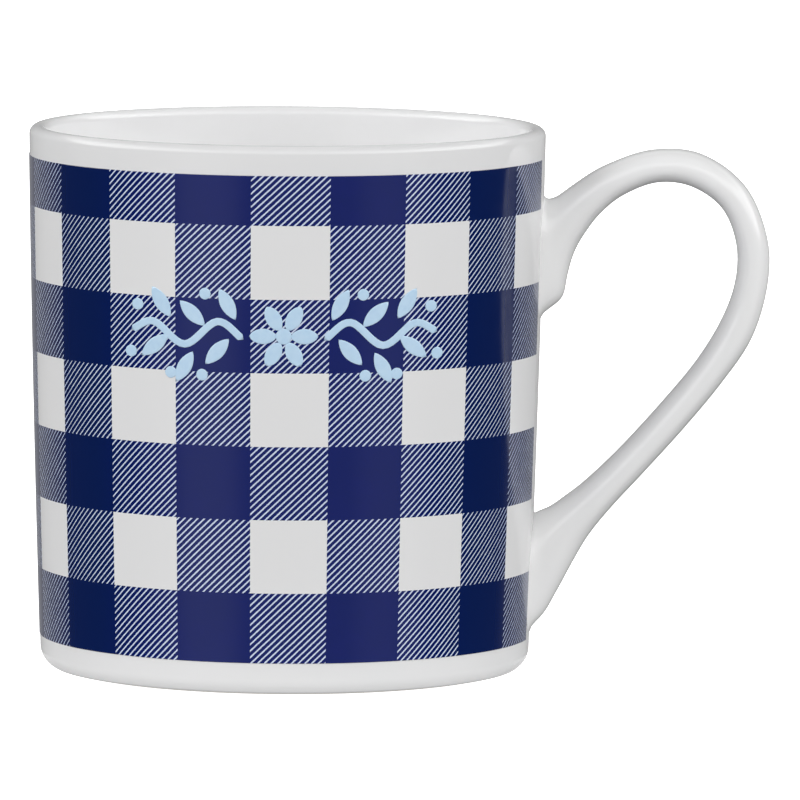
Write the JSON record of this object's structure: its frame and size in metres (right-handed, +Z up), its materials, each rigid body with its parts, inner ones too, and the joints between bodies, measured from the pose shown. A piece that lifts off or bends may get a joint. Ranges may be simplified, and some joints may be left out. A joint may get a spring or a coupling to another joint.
{
  "type": "mug",
  "caption": "Tapered white glazed mug with a slender ear-shaped handle, a wrap-round navy check print and a light blue flower sprig over it.",
  "frame": {"origin": "centre of the foot ring, on the surface the mug stands on", "axes": "+Z up along the cup's axis, +X towards the handle, and the sprig faces -Y"},
  "size_m": [0.1205, 0.084, 0.0883],
  "materials": {
    "bisque": "matte fired white clay",
    "slip": "matte fired white slip",
    "white_glaze": "clear gloss over white",
    "check_print": "gloss fired print, navy checks and hatching on white",
    "sprig_print": "gloss fired print, light blue"
  },
  "bodies": {
    "root": {"body": "bisque", "handle": "bisque", "upper_slip_joint": "slip", "lower_slip_joint": "slip", "body_glaze": "white_glaze", "underside_glaze": "white_glaze", "handle_glaze": "white_glaze", "check_transfer": "check_print", "sprig_transfer": "sprig_print"}
  },
  "joints": []
}
